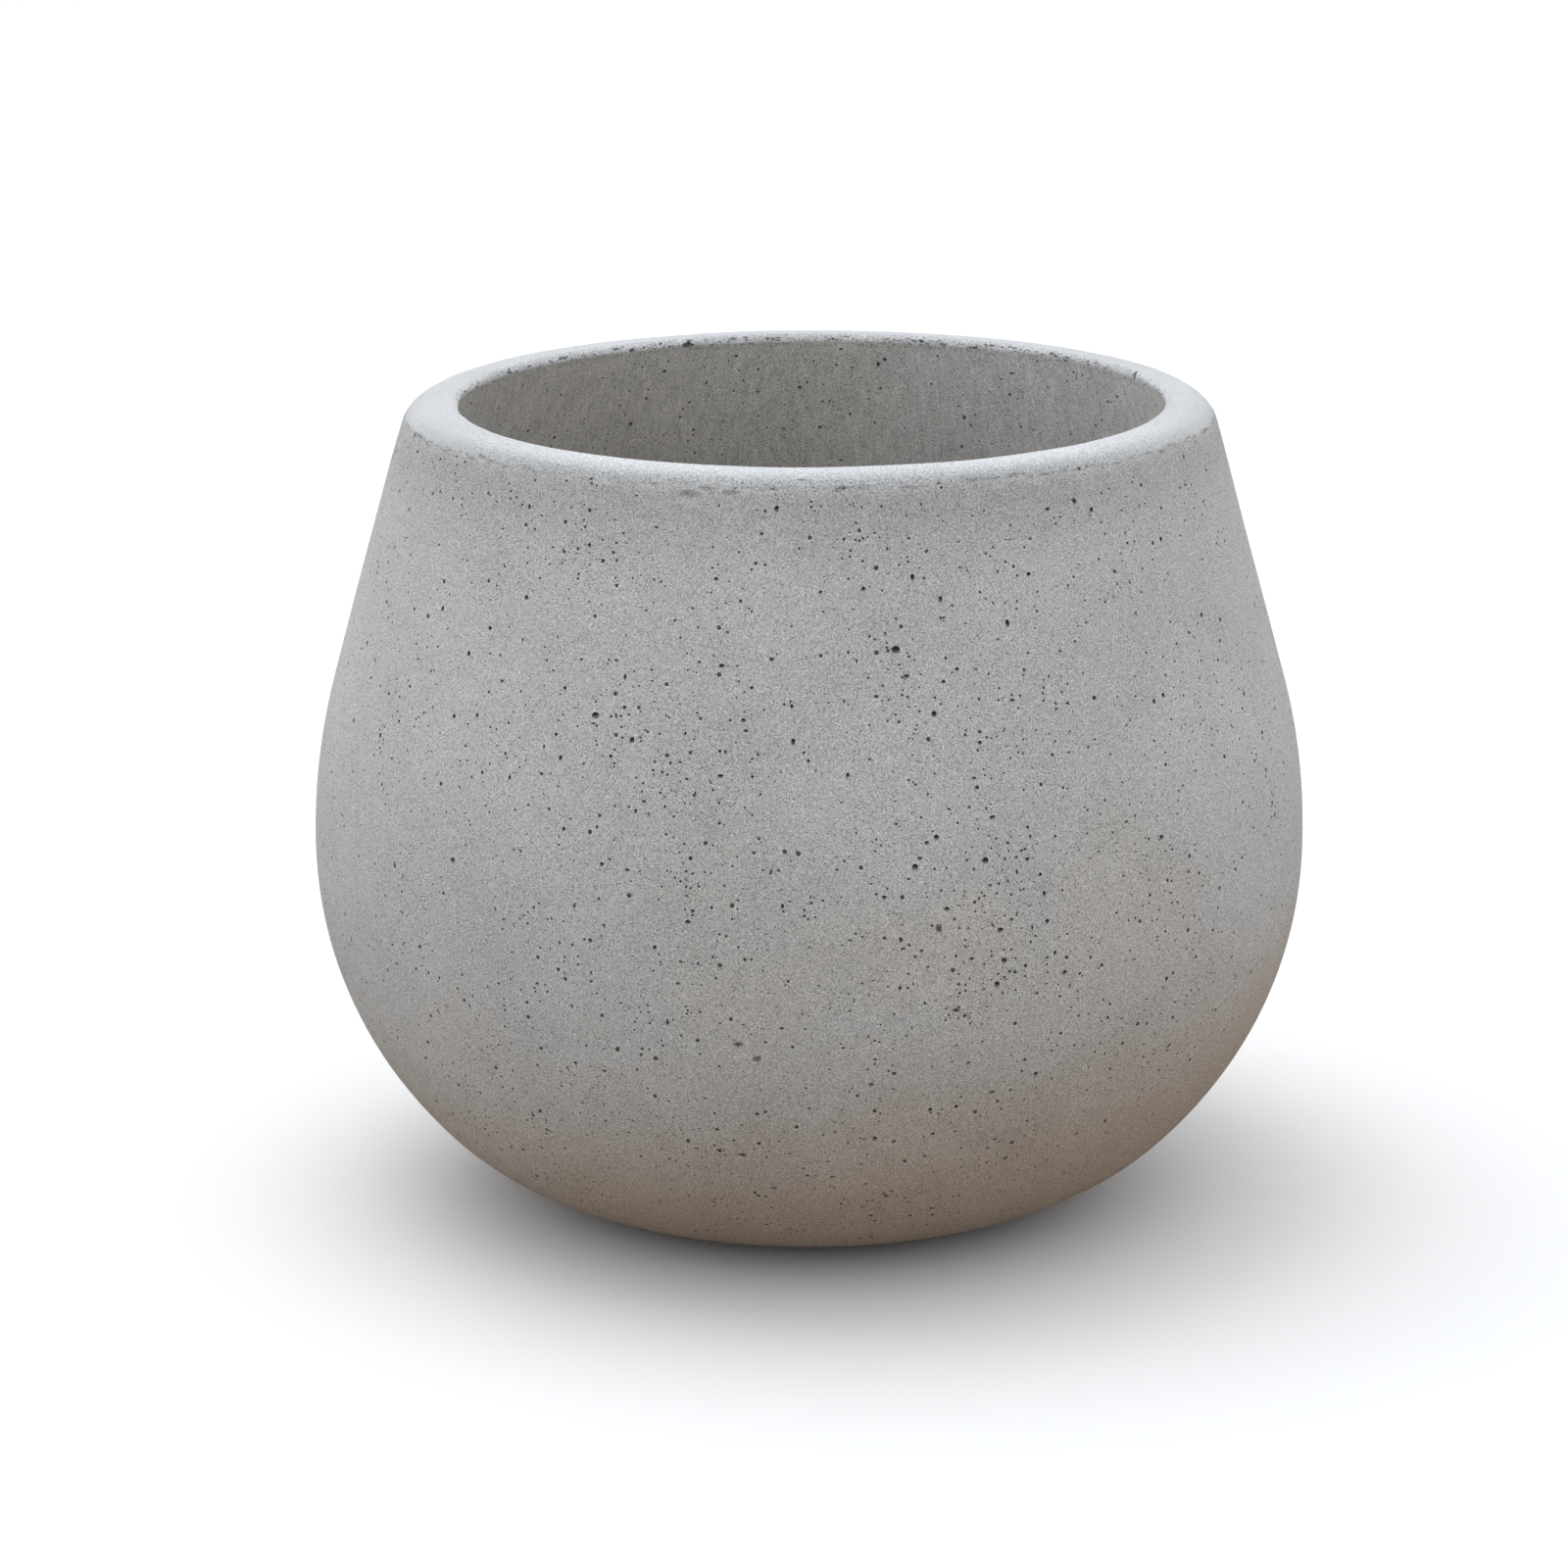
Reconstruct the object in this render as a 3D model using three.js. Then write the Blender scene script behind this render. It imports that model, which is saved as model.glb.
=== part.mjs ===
// A pot-bellied concrete planter: one cast bowl with a narrower rounded mouth, four rubber
// pads under its base, and a rubber stopper in the drain hole of its floor.
// Millimetres, +Z up. The origin is on the ground, under the middle of the bowl.

import * as THREE from 'three';

// ---- driving dimensions ----

const DIAMETER = 500; // across the belly, at its widest
const HEIGHT = 408; // from the ground to the crest of the rim
const WALL = 23; // thickness of the cast wall, square to its surface
const FLOOR_THICKNESS = 28; // thickness of the bowl's flat floor

const BELLY_HEIGHT = 180; // widest point, above the bowl's own base
const UPPER_BELLY_RADIUS = 314; // arc from the widest point up to the straight wall
const LOWER_BELLY_RADIUS = 201; // arc from the widest point down to the haunch
const HAUNCH_RADIUS = 136; // tighter arc that turns in under the bowl
const HAUNCH_START = -45.8; // degrees: where the lower belly hands over to the haunch
const WALL_LEAN = 15.5; // degrees: how far the straight upper wall leans inwards
const LIP_RADIUS = 16; // rounding of the rim's outer edge
const ARRIS_RADIUS = 3; // small rounding of the rim's inner edge

const DRAIN_DIAMETER = 25; // hole through the middle of the floor
const DRAIN_CHAMFER = 2; // broken edge at both ends of that hole
const DRAIN_RECESS_RADIUS = 21; // shallow recess in the floor that seats the stopper's flange
const DRAIN_RECESS_DEPTH = 2;

const PLUG_CLEARANCE = 0.4; // between the stopper's thickest stretch and the hole
const PLUG_TAPER = 0.8; // how much thinner the stopper's radius is at its foot
const PLUG_DEPTH = 20; // length of the stopper's stem below its flange
const PLUG_FLANGE_RADIUS = 18; // flange that lies in the recess round the hole
const PLUG_FLANGE_HEIGHT = 3.5;
const PLUG_NECK_RADIUS = 5; // neck under the finger grip
const PLUG_NECK_HEIGHT = 4;
const PLUG_GRIP_RADIUS = 8; // rounded bead that the fingers pull
const PLUG_GRIP_HEIGHT = 6;

const PAD_COUNT = 4;
const PAD_RADIUS = 15;
const PAD_HEIGHT = 3; // lifts the drain hole clear of the ground
const PAD_EDGE = 0.8; // rounding of a pad's lower edge
const PAD_CIRCLE_RADIUS = 92; // from the bowl's axis to a pad's middle

const BOWL_SEGMENTS = 64; // facets round the bowl
const SMALL_SEGMENTS = 32; // facets round the stopper and the pads

// ---- materials ----

const concrete = () => new THREE.MeshStandardMaterial({
  name: 'cast concrete', color: 0xa9a8a6, roughness: 0.88, metalness: 0,
});
const rubber = () => new THREE.MeshStandardMaterial({
  name: 'black rubber', color: 0x2a2a2b, roughness: 0.75, metalness: 0,
});

// ---- helpers ----

const { degToRad } = THREE.MathUtils;
const point = (radius, z) => new THREE.Vector2(radius, z);

/** Points on an arc of a profile, from one angle to another in degrees, both ends included. */
function arc(centre, radius, from, to, steps) {
  return Array.from({ length: steps + 1 }, (_, i) => {
    const angle = degToRad(from + ((to - from) * i) / steps);
    return point(centre.x + radius * Math.cos(angle), centre.y + radius * Math.sin(angle));
  });
}

/** Turns a profile of (radius, height) points round the vertical axis. */
function turned(profile, segments) {
  return new THREE.LatheGeometry(profile, segments).rotateX(Math.PI / 2);
}

function mesh(name, geometry, material) {
  const piece = new THREE.Mesh(geometry, material);
  piece.name = name;
  return piece;
}

// ---- the bowl's section ----
// Outside and inside are the same chain of arcs, the inside being WALL deeper, so both are
// drawn round the same three centres.

const BASE_Z = PAD_HEIGHT;
const FLOOR_Z = BASE_Z + FLOOR_THICKNESS;
const RECESS_Z = FLOOR_Z - DRAIN_RECESS_DEPTH;
const BELLY_Z = BASE_Z + BELLY_HEIGHT;
const UPPER_CENTRE = point(DIAMETER / 2 - UPPER_BELLY_RADIUS, BELLY_Z);
const LOWER_CENTRE = point(DIAMETER / 2 - LOWER_BELLY_RADIUS, BELLY_Z);
const HAUNCH_CENTRE = arc(
  LOWER_CENTRE, LOWER_BELLY_RADIUS - HAUNCH_RADIUS, HAUNCH_START, HAUNCH_START, 1,
)[0];

/** Angle on the haunch, in degrees, at which a surface `depth` inside the skin reaches height z. */
function haunchAngleAt(z, depth) {
  return THREE.MathUtils.radToDeg(Math.asin((z - HAUNCH_CENTRE.y) / (HAUNCH_RADIUS - depth)));
}

/** The curved stretch of the side from height z up to the straight wall, `depth` inside the skin. */
function curvedSide(depth, fromZ, steps) {
  return [
    ...arc(HAUNCH_CENTRE, HAUNCH_RADIUS - depth, haunchAngleAt(fromZ, depth), HAUNCH_START, steps.haunch),
    ...arc(LOWER_CENTRE, LOWER_BELLY_RADIUS - depth, HAUNCH_START, 0, steps.lower).slice(1),
    ...arc(UPPER_CENTRE, UPPER_BELLY_RADIUS - depth, 0, WALL_LEAN, steps.upper).slice(1),
  ];
}

/** Centre, at height z, of a small rounding whose middle lies `depth` inside the straight wall. */
function roundingCentre(depth, z) {
  const lean = degToRad(WALL_LEAN);
  const alongNormal = UPPER_BELLY_RADIUS - depth - (z - UPPER_CENTRE.y) * Math.sin(lean);
  return point(UPPER_CENTRE.x + alongNormal / Math.cos(lean), z);
}

function bowlProfile() {
  const hole = DRAIN_DIAMETER / 2;
  const outside = curvedSide(0, BASE_Z, { haunch: 6, lower: 8, upper: 4 });
  const lip = arc(roundingCentre(LIP_RADIUS, HEIGHT - LIP_RADIUS), LIP_RADIUS, WALL_LEAN, 90, 6);
  const arris = arc(
    roundingCentre(WALL - ARRIS_RADIUS, HEIGHT - ARRIS_RADIUS), ARRIS_RADIUS, 90, 180 + WALL_LEAN, 3,
  );
  const inside = curvedSide(WALL, FLOOR_Z, { haunch: 4, lower: 7, upper: 3 }).reverse();
  const drain = [
    point(DRAIN_RECESS_RADIUS, FLOOR_Z),
    point(DRAIN_RECESS_RADIUS, RECESS_Z),
    point(hole + DRAIN_CHAMFER, RECESS_Z),
    point(hole, RECESS_Z - DRAIN_CHAMFER),
    point(hole, BASE_Z + DRAIN_CHAMFER),
    point(hole + DRAIN_CHAMFER, BASE_Z),
  ];
  return [...outside, ...lip, ...arris, ...inside, ...drain, outside[0]];
}

function bowlShell() {
  return mesh('bowl_shell', turned(bowlProfile(), BOWL_SEGMENTS), concrete());
}

// ---- the stopper ----
// Its flange lies in the floor's recess, its tapered stem fills the hole, and its grip stands
// proud of the floor for the fingers.

function drainPlug() {
  const top = DRAIN_DIAMETER / 2 - PLUG_CLEARANCE;
  const foot = top - PLUG_TAPER;
  const footZ = RECESS_Z - PLUG_DEPTH;
  const flangeTop = RECESS_Z + PLUG_FLANGE_HEIGHT;
  const neckTop = flangeTop + PLUG_NECK_HEIGHT;
  const gripMiddle = point(PLUG_GRIP_RADIUS - PLUG_GRIP_HEIGHT / 2, neckTop + PLUG_GRIP_HEIGHT / 2);
  const profile = [
    point(0, footZ),
    point(foot - 2, footZ),
    point(foot, footZ + 2),
    point(top, RECESS_Z),
    point(PLUG_FLANGE_RADIUS - 0.5, RECESS_Z),
    ...arc(point(PLUG_FLANGE_RADIUS - 1.5, flangeTop - 1.5), 1.5, 0, 90, 3),
    point(PLUG_NECK_RADIUS, flangeTop),
    point(PLUG_NECK_RADIUS, neckTop),
    ...arc(gripMiddle, PLUG_GRIP_HEIGHT / 2, -90, 90, 8),
    point(0, neckTop + PLUG_GRIP_HEIGHT),
  ];
  return mesh('drain_plug', turned(profile, SMALL_SEGMENTS), rubber());
}

// ---- the pads ----

function footPad(index) {
  const profile = [
    point(0, 0),
    ...arc(point(PAD_RADIUS - PAD_EDGE, PAD_EDGE), PAD_EDGE, -90, 0, 3),
    point(PAD_RADIUS, PAD_HEIGHT),
    point(0, PAD_HEIGHT),
  ];
  const pad = mesh(`foot_pad_${index + 1}`, turned(profile, SMALL_SEGMENTS), rubber());
  const angle = (2 * Math.PI * (index + 0.5)) / PAD_COUNT;
  pad.position.set(PAD_CIRCLE_RADIUS * Math.cos(angle), PAD_CIRCLE_RADIUS * Math.sin(angle), 0);
  return pad;
}

// ---- assembly ----

const planter = new THREE.Group();
planter.add(bowlShell(), drainPlug());
for (let index = 0; index < PAD_COUNT; index += 1) planter.add(footPad(index));

export default planter;
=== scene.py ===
# %% [markdown]
# # A cast concrete bowl planter
#
# The real object is one heavy casting: a pot-bellied bowl of grey concrete with a narrower mouth, standing
# on four rubber pads, with a rubber stopper in the drain hole of its floor. Its form is simple, so its
# looks are all in the surface: the pale rim with its crumbly inner edge, the cloudy grey of the wall, the
# fine sand in it, and the air holes that every casting keeps.
#
# The lesson goes from the large to the small: the camera, the section of the bowl, the skin turned from it,
# the holes carved into it, then the rubber pieces, the finishes, and last the floor and the light.

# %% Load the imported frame
import math

import bpy
import numpy as np
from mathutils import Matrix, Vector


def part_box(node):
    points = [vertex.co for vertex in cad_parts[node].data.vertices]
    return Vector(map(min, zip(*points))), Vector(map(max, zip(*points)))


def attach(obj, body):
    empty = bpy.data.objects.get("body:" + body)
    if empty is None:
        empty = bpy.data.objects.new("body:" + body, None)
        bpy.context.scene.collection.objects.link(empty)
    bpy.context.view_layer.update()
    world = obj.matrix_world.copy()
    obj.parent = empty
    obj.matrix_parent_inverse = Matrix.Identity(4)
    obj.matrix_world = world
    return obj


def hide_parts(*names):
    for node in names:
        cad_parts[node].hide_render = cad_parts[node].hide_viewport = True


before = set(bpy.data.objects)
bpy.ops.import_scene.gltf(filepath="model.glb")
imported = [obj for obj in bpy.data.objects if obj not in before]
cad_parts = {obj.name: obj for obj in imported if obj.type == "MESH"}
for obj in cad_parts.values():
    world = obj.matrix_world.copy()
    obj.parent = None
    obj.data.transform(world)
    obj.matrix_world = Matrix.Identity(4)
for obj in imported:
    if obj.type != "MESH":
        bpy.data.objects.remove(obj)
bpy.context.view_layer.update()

# %% [markdown]
# ## The camera
#
# The picture looks down a little on the bowl, through a long lens from a few metres away: the rim's ellipse
# is flatter than the base's, and by how much tells the distance. The lens is given in pixels of the
# picture first, because the same number turns a pixel back into a line of sight, and such lines later say
# where on the bowl an air hole of the picture sits.

# %% Camera
PICTURE_SIZE = 1600           # pixels along each side of the picture
LENS_PIXELS = 5196            # focal length, in those pixels
AXIS_PIXEL = 826.2            # column in which the bowl's axis stands
CAMERA_DISTANCE = 2.5         # metres from the bowl's axis, level with the ground
CAMERA_HEIGHT = 0.855
CAMERA_PITCH = math.radians(14.54)
SENSOR_MM = 36
METRES_PER_PIXEL = CAMERA_DISTANCE / LENS_PIXELS       # at the bowl, near enough

picture_middle = PICTURE_SIZE / 2
camera_x = (picture_middle - AXIS_PIXEL) * METRES_PER_PIXEL
CAMERA_PLACE = np.array([camera_x, -CAMERA_DISTANCE, CAMERA_HEIGHT])

camera = bpy.data.objects.new("camera", bpy.data.cameras.new("camera"))
bpy.context.collection.objects.link(camera)
camera.location = CAMERA_PLACE
camera.rotation_euler = (math.pi / 2 - CAMERA_PITCH, 0, 0)
camera.data.sensor_width = SENSOR_MM
camera.data.lens = LENS_PIXELS / PICTURE_SIZE * SENSOR_MM
bpy.context.scene.camera = camera

FORWARD = np.array([0, math.cos(CAMERA_PITCH), -math.sin(CAMERA_PITCH)])
UP = np.array([0, math.sin(CAMERA_PITCH), math.cos(CAMERA_PITCH)])
RIGHT = np.array([1.0, 0, 0])


def lines_of_sight(pixels):
    """Directions of the lines of sight through (column, row) pixels of the picture.

    Forward, plus right and up by the pixel's offset from the middle over the focal length."""
    offset = (pixels - picture_middle) / LENS_PIXELS
    sight = FORWARD + offset[:, :1] * RIGHT - offset[:, 1:2] * UP
    return sight / np.linalg.norm(sight, axis=1, keepdims=True)


def pixels_of(points):
    """The (column, row) pixels in which points are seen: the same turned round."""
    away = points - CAMERA_PLACE
    offset = np.column_stack([away @ RIGHT, -(away @ UP)]) / (away @ FORWARD)[:, None]
    return picture_middle + LENS_PIXELS * offset


print(f"lens {camera.data.lens:.1f} mm, {METRES_PER_PIXEL * 1000:.2f} mm of bowl in each pixel")

# %% [markdown]
# ## The section of the bowl
#
# A bowl like this is cast in a turned mould, so one section line, carried round the axis, gives all of it.
# A potter's drawing would make the line from a few arcs that run smoothly into each other: a tight haunch
# under the bowl, the lower belly, the flatter upper belly, then a straight wall that leans inwards and a
# rounded lip. The inner mould follows the outer one at the wall's thickness, so the same arcs serve twice.
# Drawing it freehand as a curve would be quicker, but arcs keep both faces parallel.

# %% Driving dimensions, in metres
SHELL_LOW, SHELL_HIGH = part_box("bowl_shell")
WIDEST = SHELL_HIGH[0]        # radius of the belly
RIM_Z = SHELL_HIGH[2]
BASE_Z = SHELL_LOW[2]
BELLY_Z = BASE_Z + 0.180
WALL = 0.023
FLOOR_Z = BASE_Z + 0.028
UPPER_BELLY_RADIUS = 0.314
LOWER_BELLY_RADIUS = 0.201
HAUNCH_RADIUS = 0.136
HAUNCH_START = -45.8          # degrees
WALL_LEAN = 15.5              # degrees
LIP_RADIUS = 0.016
ARRIS_RADIUS = 0.003
DRAIN_RADIUS = 0.0125
DRAIN_CHAMFER = 0.002
RECESS_RADIUS = 0.021
RECESS_Z = FLOOR_Z - 0.002
NEAR_RIM = 0.12               # share of the straight inner wall that has closer rows


# %% Arcs and lines
def arc(centre, radius, start, stop, rows):
    """Points on a circle: the centre plus radius times (cosine, sine) of evenly spaced angles."""
    angle = np.radians(np.linspace(start, stop, rows + 1))
    return np.asarray(centre) + radius * np.column_stack([np.cos(angle), np.sin(angle)])


def between(start, stop, rows):
    """Points evenly spaced on the line from start to stop, both ends left out."""
    return np.linspace(start, stop, rows + 1)[1:-1]


UPPER_CENTRE = (WIDEST - UPPER_BELLY_RADIUS, BELLY_Z)
LOWER_CENTRE = (WIDEST - LOWER_BELLY_RADIUS, BELLY_Z)
HAUNCH_CENTRE = arc(LOWER_CENTRE, LOWER_BELLY_RADIUS - HAUNCH_RADIUS, HAUNCH_START, HAUNCH_START, 1)[0]


def curved_side(depth, low_z, rows):
    """The side from height low_z up to the straight wall, `depth` inside the skin.

    Three arcs round the three fixed centres, each radius less the depth."""
    haunch = HAUNCH_RADIUS - depth
    first = math.degrees(math.asin((low_z - HAUNCH_CENTRE[1]) / haunch))
    return np.concatenate([
        arc(HAUNCH_CENTRE, haunch, first, HAUNCH_START, rows[0]),
        arc(LOWER_CENTRE, LOWER_BELLY_RADIUS - depth, HAUNCH_START, 0, rows[1])[1:],
        arc(UPPER_CENTRE, UPPER_BELLY_RADIUS - depth, 0, WALL_LEAN, rows[2])[1:],
    ])


def rounding_centre(depth, z):
    """The point at height z that lies `depth` inside the straight wall, measured square to it."""
    lean = math.radians(WALL_LEAN)
    along = UPPER_BELLY_RADIUS - depth - (z - UPPER_CENTRE[1]) * math.sin(lean)
    return (UPPER_CENTRE[0] + along / math.cos(lean), z)


# %% The section line
outer_curve = curved_side(0, BASE_Z, (12, 24, 13))
lip = arc(rounding_centre(LIP_RADIUS, RIM_Z - LIP_RADIUS), LIP_RADIUS, WALL_LEAN, 90, 11)
arris_centre = rounding_centre(WALL - ARRIS_RADIUS, RIM_Z - ARRIS_RADIUS)
arris = arc(arris_centre, ARRIS_RADIUS, 90, 180 + WALL_LEAN, 8)
inner_curve = curved_side(WALL, FLOOR_Z, (6, 12, 5))[::-1]
drain = np.array([
    (RECESS_RADIUS, FLOOR_Z),
    (RECESS_RADIUS, RECESS_Z),
    (DRAIN_RADIUS + DRAIN_CHAMFER, RECESS_Z),
    (DRAIN_RADIUS, RECESS_Z - DRAIN_CHAMFER),
    (DRAIN_RADIUS, BASE_Z + DRAIN_CHAMFER),
    (DRAIN_RADIUS + DRAIN_CHAMFER, BASE_Z),
])
outside = np.concatenate([outer_curve, between(outer_curve[-1], lip[0], 17), lip])
rim_land = between(lip[-1], arris[0], 4)
near_rim = arris[-1] + NEAR_RIM * (inner_curve[0] - arris[-1])
inner_wall = [between(arris[-1], near_rim, 6), near_rim[None], between(near_rim, inner_curve[0], 11)]
inside = np.concatenate([arris, *inner_wall, inner_curve])
to_drain = between(inner_curve[-1], drain[0], 7)
underside = between(drain[-1], outer_curve[0], 8)
SECTION = np.concatenate([outside, rim_land, inside, to_drain, drain, underside, outside[:1]])
RUN = np.concatenate([[0], np.cumsum(np.hypot(*np.diff(SECTION, axis=0).T))])

WALL_TOP_RUN = RUN[len(outside) - len(lip)]
CREST_RUN = RUN[len(outside) - 1]
ARRIS_RUN = RUN[len(outside) + len(rim_land)]
INSIDE_RUN = RUN[len(outside) + len(rim_land) + len(arris) - 1]
FLOOR_RUN = RUN[len(outside) + len(rim_land) + len(inside) - 1]
UNDERSIDE_RUN = RUN[-len(underside) - 2]
print(f"{len(SECTION)} points in the section, {RUN[-1]:.3f} m round it, mouth radius {arris[-1][0]:.4f} m")

# %% [markdown]
# ## From the section to a skin
#
# The skin is a grid: one row for each point of the section, one column for each step round the axis. The
# section closes on itself, so both directions of the grid wrap round and there is no pole to close.
#
# No mould is perfect, so the grid is moved a few tenths of a millimetre along its normals by slow waves.
# The movement only goes inwards, because the casting fills the mould and never passes it. The rim is struck
# off by hand across the top of the mould, and here it ends a little higher at the back than at the front. The
# inner mould stood off centre, so the wall is thicker on the left.


# %% Helpers for surfaces
def surface(name, points, *faces):
    """A smooth mesh object from an array of points and arrays of faces, one face in each row."""
    corners = np.concatenate([face.ravel() for face in faces])
    sizes = np.concatenate([np.full(len(face), face.shape[1]) for face in faces])
    mesh = bpy.data.meshes.new(name)
    mesh.vertices.add(len(points))
    mesh.vertices.foreach_set("co", np.ascontiguousarray(points, np.float32).ravel())
    mesh.loops.add(len(corners))
    mesh.loops.foreach_set("vertex_index", corners.astype(np.int32))
    mesh.polygons.add(len(sizes))
    mesh.polygons.foreach_set("loop_start", np.concatenate([[0], np.cumsum(sizes)[:-1]]).astype(np.int32))
    mesh.update(calc_edges=True)
    mesh.validate()
    mesh.shade_smooth()
    piece = bpy.data.objects.new(name, mesh)
    bpy.context.collection.objects.link(piece)
    return piece


def ring_faces(rows, columns, closed):
    """Four-cornered faces of a grid whose columns wrap round, and whose rows do too if closed."""
    row, column = np.meshgrid(np.arange(rows if closed else rows - 1), np.arange(columns), indexing="ij")
    above, beside = (row + 1) % rows, (column + 1) % columns
    low, high = row * columns, above * columns
    corners = [low + column, low + beside, high + beside, high + column]
    return np.stack([corner.ravel() for corner in corners], axis=1)


def turn(section, columns):
    """Carries (radius, height) points round the axis: x and y are radius times cosine and sine."""
    angle = np.linspace(0, 2 * np.pi, columns, endpoint=False)
    radius, height = section[:, :1], section[:, 1:]
    return np.stack([radius * np.cos(angle), radius * np.sin(angle), height + 0 * angle], axis=2)


def waves(points, count, shortest, longest, seed):
    """Slow unevenness from 0 to 1: the mean of sine waves of random direction, length and phase."""
    draw = np.random.default_rng(seed)
    direction = draw.normal(size=(count, 3))
    direction /= np.linalg.norm(direction, axis=1, keepdims=True)
    length = draw.uniform(shortest, longest, size=count)
    phase = draw.uniform(0, 2 * np.pi, size=count)
    sines = np.sin(points @ (direction * (2 * np.pi / length)[:, None]).T + phase)
    return np.clip(0.5 + sines.sum(axis=1) / (2 * math.sqrt(2 * count)), 0, 1)


# %% Places on the skin
slope = np.gradient(SECTION, RUN, axis=0)
slope[0] = slope[-1] = 0.5 * (slope[0] + slope[-1])
slope /= np.linalg.norm(slope, axis=1, keepdims=True)


def on_skin(run, angle):
    """Place, way round the bowl, way along the section and way out of the concrete.

    The place is the section's point at that run, turned by the angle. The way out is the cross product
    of the way round and the way along."""
    radius, height = np.interp(run, RUN, SECTION[:, 0]), np.interp(run, RUN, SECTION[:, 1])
    outwards, upwards = np.interp(run, RUN, slope[:, 0]), np.interp(run, RUN, slope[:, 1])
    cosine, sine = np.cos(angle), np.sin(angle)
    place = np.column_stack([radius * cosine, radius * sine, height])
    round_way = np.column_stack([-sine, cosine, 0 * sine])
    along = np.column_stack([outwards * cosine, outwards * sine, upwards])
    return place, round_way, along, np.cross(round_way, along)


SWELL_DEPTH = 0.0004          # how far the slow waves reach into the concrete
RIM_FALL = 0.0034             # from the rim's highest point to the opposite one
RIM_HIGH_SIDE = math.radians(59)
RIM_FALL_START = RIM_Z - 0.035
CORE_SHIFT = 0.0022           # how much thicker than drawn the wall is on its thick side, the left
CORE_SHIFT_FADE = 0.08        # metres before the floor over which the shift fades out


def swell(points):
    """Depth of the slow waves in metres, fading out where the base and the drain hole must fit."""
    radius = np.hypot(points[:, 0], points[:, 1])
    free = np.clip((radius - 0.03) / 0.05, 0, 1) * np.clip((points[:, 2] - BASE_Z) / 0.02, 0, 1)
    return SWELL_DEPTH * free * waves(points, 14, 0.05, 0.22, seed=11)


def uneven(points, way_out, run):
    """Moves points of the perfect bowl to the hand-made one.

    Against the way out by the slow waves, near the rim down by a half turn's cosine that is nothing on
    the high side and the whole fall opposite, and on the inside to the right by another such cosine."""
    moved = points - way_out * swell(points)[:, None]
    angle = np.arctan2(points[:, 1], points[:, 0])
    share = np.clip((points[:, 2] - RIM_FALL_START) / (RIM_Z - RIM_FALL_START), 0, 1)
    moved[:, 2] -= RIM_FALL * (1 - np.cos(angle - RIM_HIGH_SIDE)) / 2 * share**2 * (3 - 2 * share)
    inner = np.clip((run - CREST_RUN) / (ARRIS_RUN - CREST_RUN), 0, 1)
    inner = inner * np.clip((FLOOR_RUN - run) / CORE_SHIFT_FADE, 0, 1)
    moved[:, 0] += CORE_SHIFT * (1 - np.cos(angle)) / 2 * inner
    return moved


# %% The bowl's skin
BOWL_COLUMNS = 280
CRUMBLE_DEPTH = 0.0006        # how far the inner edge of the rim is worn back
CRUMBLE_REACH = 0.0040        # how far from that edge the wear spreads
WHOLE_SIDE = math.radians(-90)                          # the edge is whole at the front


def crumbly(angle):
    """How much of the rim's inner edge has crumbled: nothing on its whole side, all across from it."""
    return np.clip(1.25 - 1.5 * np.cos(angle - WHOLE_SIDE), 0, 1)


edge_run = 0.3 * ARRIS_RUN + 0.7 * INSIDE_RUN


def wear(points, run):
    """Depth in metres of the worn inner edge: short waves, only near the edge and where it crumbles."""
    near = np.clip(1 - np.abs(run - edge_run) / CRUMBLE_REACH, 0, 1)
    short_waves = np.clip(waves(points, 40, 0.007, 0.018, seed=12) * 2 - 0.7, 0, 1)
    return CRUMBLE_DEPTH * near * short_waves * crumbly(np.arctan2(points[:, 1], points[:, 0]))


rows = len(SECTION) - 1
turn_angles = np.linspace(0, 2 * np.pi, BOWL_COLUMNS, endpoint=False)
run_grid, angle_grid = [side.ravel() for side in np.meshgrid(RUN[:-1], turn_angles, indexing="ij")]
ideal, _, _, way_out = on_skin(run_grid, angle_grid)
skin = uneven(ideal, way_out, run_grid) - way_out * wear(ideal, run_grid)[:, None]
bowl = surface("bowl", skin, ring_faces(rows, BOWL_COLUMNS, closed=True))
print(f"bowl skin: {rows} rows, {BOWL_COLUMNS} columns, {len(bowl.data.polygons)} faces")

# %% [markdown]
# ## Air holes and chips
#
# Air that can't leave the wet concrete sits against the mould as bubbles, and each one leaves a round hole
# when the mould comes off. They could be painted or bumped, but a hole of a few millimetres has a shadow at
# its top and a lit lip at its foot, and it shows in profile. So the larger ones are carved: a small ball for
# each, most of it under the skin, and all of them taken out of the bowl in one cut.
#
# The largest holes are placed where the picture has them: each is a column, a row and a radius measured in
# the picture's pixels, and the line of sight through it is followed to the skin. The rest are drawn at
# random in loose clusters, so that the back has as many as the front.

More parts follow.
